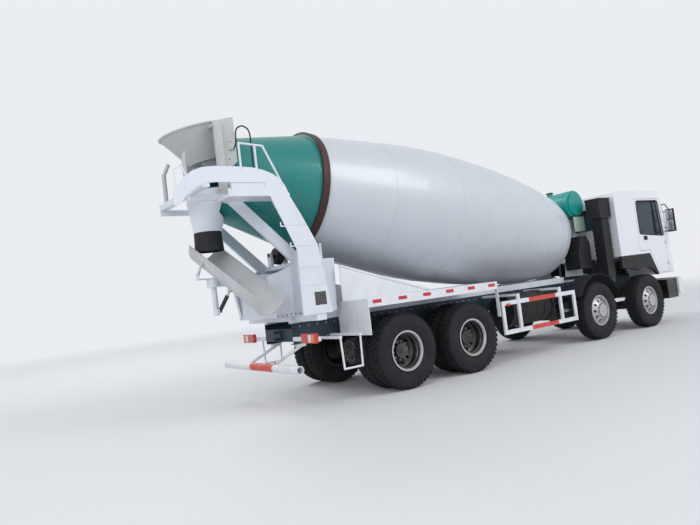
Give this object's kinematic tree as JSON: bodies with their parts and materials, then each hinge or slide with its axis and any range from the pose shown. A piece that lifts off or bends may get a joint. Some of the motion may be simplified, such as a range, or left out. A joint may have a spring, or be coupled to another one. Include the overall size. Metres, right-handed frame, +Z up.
{
  "type": "concrete mixer truck",
  "caption": "Four-axle concrete mixer truck with a tilted turning drum, rear hopper, discharge chute, ladder, tilting cab and steered front wheels.",
  "frame": {"origin": "middle of the overall length and width, on the ground under the wheels", "axes": "+X forward to the cab, +Y to the left side, +Z up"},
  "size_m": [11.1, 2.7, 4.0702],
  "materials": {
    "white_paint": "gloss",
    "chassis_paint": "satin",
    "drum_paint": "gloss",
    "frame_paint": "gloss",
    "iron": "rough",
    "ring_steel": "worn",
    "green_plastic": "satin",
    "black_plastic": "matt",
    "black_rubber": "matt",
    "tyre_rubber": "matt",
    "rim_steel": "satin",
    "worn_steel": "worn",
    "glass": "clear",
    "lamp_lens": "gloss",
    "cloth": "woven",
    "gear_paint": "satin"
  },
  "bodies": {
    "chassis": {"chassis_rails": "chassis_paint", "cross_members": "chassis_paint", "mixer_subframe": "frame_paint", "axle_beams": "iron", "leaf_springs": "iron", "power_train": "iron", "chassis_tanks": "black_plastic", "guard_rails": "frame_paint", "rear_mudguards": "white_paint", "arch_mudguards": "black_plastic", "front_bumper": "white_paint", "rear_lamps": "lamp_lens", "rear_pedestal": "frame_paint", "ladder_platform": "frame_paint", "feed_hopper": "worn_steel", "discharge_collector": "frame_paint", "collector_skirt": "black_rubber", "drum_gearbox": "gear_paint", "water_tank": "green_plastic", "cooler_unit": "black_plastic"},
    "drum": {"drum_rear": "drum_paint", "drum_middle": "drum_paint", "drum_front": "drum_paint", "drum_ring": "ring_steel"},
    "roller_left": {"roller_left": "iron"},
    "roller_right": {"roller_right": "iron"},
    "chute_turn": {"chute_swivel": "frame_paint"},
    "chute": {"discharge_chute": "worn_steel"},
    "jack_barrel": {"jack_barrel": "black_plastic"},
    "jack_rod": {"jack_rod": "rim_steel"},
    "cab": {"cab_shell": "white_paint", "cab_glass": "glass", "cab_fittings": "black_plastic", "cab_interior": "cloth"},
    "door_left": {"door_left": "white_paint", "door_glass_left": "glass"},
    "door_right": {"door_right": "white_paint", "door_glass_right": "glass"},
    "knuckle_1_left": {"knuckle_1_left": "iron"},
    "wheel_1_left": {"rim_1_left": "rim_steel", "tyre_1_left": "tyre_rubber"},
    "knuckle_1_right": {"knuckle_1_right": "iron"},
    "wheel_1_right": {"rim_1_right": "rim_steel", "tyre_1_right": "tyre_rubber"},
    "knuckle_2_left": {"knuckle_2_left": "iron"},
    "wheel_2_left": {"rim_2_left": "rim_steel", "tyre_2_left": "tyre_rubber"},
    "knuckle_2_right": {"knuckle_2_right": "iron"},
    "wheel_2_right": {"rim_2_right": "rim_steel", "tyre_2_right": "tyre_rubber"},
    "wheel_3_left": {"rim_3_left": "rim_steel", "tyre_3_left": "tyre_rubber"},
    "wheel_3_right": {"rim_3_right": "rim_steel", "tyre_3_right": "tyre_rubber"},
    "wheel_4_left": {"rim_4_left": "rim_steel", "tyre_4_left": "tyre_rubber"},
    "wheel_4_right": {"rim_4_right": "rim_steel", "tyre_4_right": "tyre_rubber"}
  },
  "joints": [
    {"name": "steer_1_left", "type": "hinge", "parent": "chassis", "child": "knuckle_1_left", "pos_m": [4.35, 0.85, 0.555], "axis": [0, 0, 1], "range_deg": [-30, 30]},
    {"name": "wheel_1_left_spin", "type": "hinge", "parent": "knuckle_1_left", "child": "wheel_1_left", "pos_m": [4.35, 1.011, 0.555], "axis": [0, 1, 0], "continuous": true},
    {"name": "steer_1_right", "type": "hinge", "parent": "chassis", "child": "knuckle_1_right", "pos_m": [4.35, -0.85, 0.555], "axis": [0, 0, 1], "range_deg": [-30, 30]},
    {"name": "wheel_1_right_spin", "type": "hinge", "parent": "knuckle_1_right", "child": "wheel_1_right", "pos_m": [4.35, -1.011, 0.555], "axis": [0, 1, 0], "continuous": true},
    {"name": "steer_2_left", "type": "hinge", "parent": "chassis", "child": "knuckle_2_left", "pos_m": [2.55, 0.85, 0.555], "axis": [0, 0, 1], "range_deg": [-21, 21]},
    {"name": "wheel_2_left_spin", "type": "hinge", "parent": "knuckle_2_left", "child": "wheel_2_left", "pos_m": [2.55, 1.011, 0.555], "axis": [0, 1, 0], "continuous": true},
    {"name": "steer_2_right", "type": "hinge", "parent": "chassis", "child": "knuckle_2_right", "pos_m": [2.55, -0.85, 0.555], "axis": [0, 0, 1], "range_deg": [-21, 21]},
    {"name": "wheel_2_right_spin", "type": "hinge", "parent": "knuckle_2_right", "child": "wheel_2_right", "pos_m": [2.55, -1.011, 0.555], "axis": [0, 1, 0], "continuous": true},
    {"name": "wheel_3_left_spin", "type": "hinge", "parent": "chassis", "child": "wheel_3_left", "pos_m": [-1.05, 0.918, 0.555], "axis": [0, 1, 0], "continuous": true},
    {"name": "wheel_3_right_spin", "type": "hinge", "parent": "chassis", "child": "wheel_3_right", "pos_m": [-1.05, -0.918, 0.555], "axis": [0, 1, 0], "continuous": true},
    {"name": "wheel_4_left_spin", "type": "hinge", "parent": "chassis", "child": "wheel_4_left", "pos_m": [-2.4, 0.918, 0.555], "axis": [0, 1, 0], "continuous": true},
    {"name": "wheel_4_right_spin", "type": "hinge", "parent": "chassis", "child": "wheel_4_right", "pos_m": [-2.4, -0.918, 0.555], "axis": [0, 1, 0], "continuous": true},
    {"name": "drum_spin", "type": "hinge", "parent": "chassis", "child": "drum", "pos_m": [-3.255, 0, 3.11], "axis": [0.9848, 0, -0.1736], "continuous": true},
    {"name": "roller_left_spin", "type": "hinge", "parent": "chassis", "child": "roller_left", "pos_m": [-3.41645, 0.52, 2.19436], "axis": [0.9848, 0, -0.1736], "continuous": true},
    {"name": "roller_right_spin", "type": "hinge", "parent": "chassis", "child": "roller_right", "pos_m": [-3.41645, -0.52, 2.19436], "axis": [0.9848, 0, -0.1736], "continuous": true},
    {"name": "cab_tilt", "type": "hinge", "parent": "chassis", "child": "cab", "pos_m": [5.39, 0, 1.01], "axis": [0, 1, 0], "range_deg": [0, 50]},
    {"name": "door_left_hinge", "type": "hinge", "parent": "cab", "child": "door_left", "pos_m": [5.316, 1.146, 1.525], "axis": [0, 0, -1], "range_deg": [0, 70]},
    {"name": "door_right_hinge", "type": "hinge", "parent": "cab", "child": "door_right", "pos_m": [5.316, -1.146, 1.525], "axis": [0, 0, 1], "range_deg": [0, 70]},
    {"name": "chute_swing", "type": "hinge", "parent": "chassis", "child": "chute_turn", "pos_m": [-4.74, 0, 1.98], "axis": [0, 0, 1], "range_deg": [-180, 0]},
    {"name": "chute_lift", "type": "hinge", "parent": "chute_turn", "child": "chute", "pos_m": [-4.74, 0, 1.98], "axis": [-0.9511, -0.309, 0], "range_deg": [-8, 15]},
    {"name": "jack_barrel_hinge", "type": "hinge", "parent": "chute_turn", "child": "jack_barrel", "pos_m": [-4.71682, -0.07133, 1.45], "axis": [-0.9511, -0.309, 0], "range_deg": [-1.14, 2.12]},
    {"name": "jack_rod_slide", "type": "slide", "parent": "jack_barrel", "child": "jack_rod", "axis": [0.2131, -0.6558, 0.7243], "range_m": [-0.0583, 0.1092]}
  ],
  "couplings": [
    {"joint": "steer_1_right", "follows": "steer_1_left", "ratio": 1},
    {"joint": "steer_2_left", "follows": "steer_1_left", "ratio": 0.7},
    {"joint": "steer_2_right", "follows": "steer_1_left", "ratio": 0.7},
    {"joint": "roller_left_spin", "follows": "drum_spin", "ratio": -7.1923},
    {"joint": "roller_right_spin", "follows": "drum_spin", "ratio": -7.1923},
    {"joint": "jack_barrel_hinge", "follows": "chute_lift", "ratio": 0.1406},
    {"joint": "jack_rod_slide", "follows": "chute_lift", "m_per_rad": 0.4164}
  ]
}
